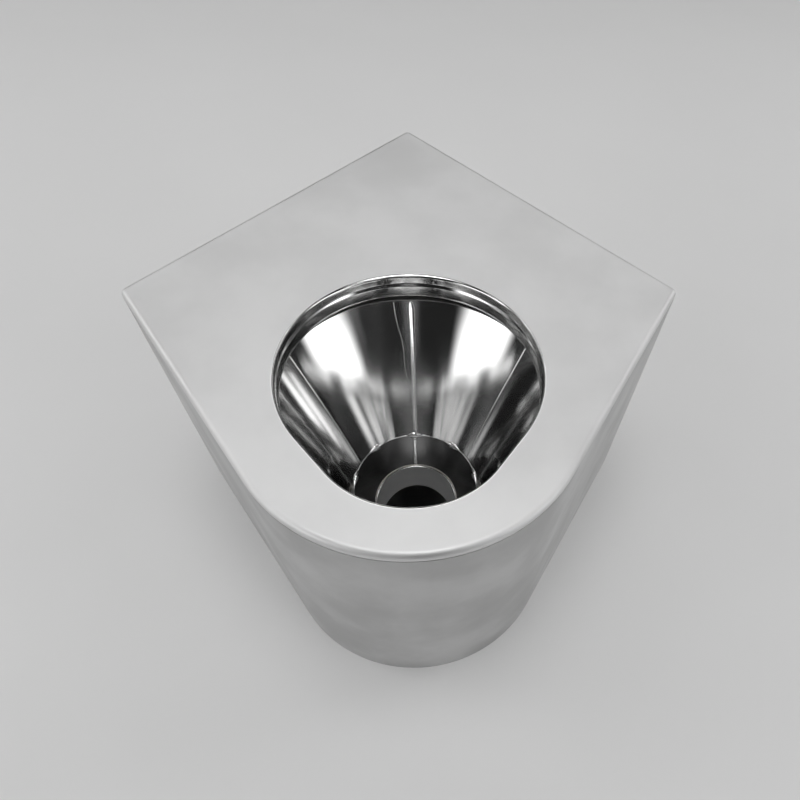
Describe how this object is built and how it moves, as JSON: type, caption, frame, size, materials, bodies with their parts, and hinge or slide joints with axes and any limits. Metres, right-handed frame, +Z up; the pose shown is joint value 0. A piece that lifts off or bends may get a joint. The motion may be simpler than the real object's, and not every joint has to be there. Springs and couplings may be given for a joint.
{
  "type": "stainless steel corner toilet pan",
  "caption": "Floor-standing corner toilet pan of welded stainless sheet: flat deck, open egg-shaped bowl with flushing rim, plain skirt and built-in trap with floor outlet.",
  "frame": {"origin": "on the floor under the middle of the pan's bounding box", "axes": "+Z up, -Y towards the round nose, +Y towards the corner of the room, +X to the right seen from the nose"},
  "size_m": [0.6744, 0.6908, 0.4],
  "materials": {
    "satin_steel": "satin ground",
    "polished_steel": "mirror polished",
    "mill_steel": "dull mill finish",
    "fastener_steel": "plain",
    "rubber": "matt moulded",
    "damping_pad": "matt bitumen sheet"
  },
  "bodies": {
    "root": {"deck_plate": "satin_steel", "front_skirt": "satin_steel", "rim_ring": "polished_steel", "bowl_panel_left": "polished_steel", "bowl_panel_right": "polished_steel", "bowl_panel_front": "polished_steel", "sump_ring": "polished_steel", "rim_channel_wall": "mill_steel", "rim_channel_floor": "mill_steel", "trap_inlet_tube": "mill_steel", "trap_u_bend_front": "mill_steel", "trap_u_bend_middle": "mill_steel", "trap_u_bend_rear": "mill_steel", "trap_riser": "mill_steel", "trap_crown_bend_front": "mill_steel", "trap_crown_bend_middle": "mill_steel", "trap_crown_bend_rear": "mill_steel", "trap_crown_bend_end": "mill_steel", "outlet_spigot": "mill_steel", "flush_inlet_pipe": "mill_steel", "floor_flange": "mill_steel", "fixing_plate_left": "mill_steel", "fixing_plate_right": "mill_steel", "deck_rail_left": "mill_steel", "deck_rail_right": "mill_steel", "weld_nuts": "fastener_steel", "earth_stud": "fastener_steel", "earth_tag": "fastener_steel", "earth_washer": "fastener_steel", "earth_nut": "fastener_steel", "flush_inlet_seal": "rubber", "sound_pad_left": "damping_pad", "sound_pad_right": "damping_pad"}
  },
  "joints": []
}
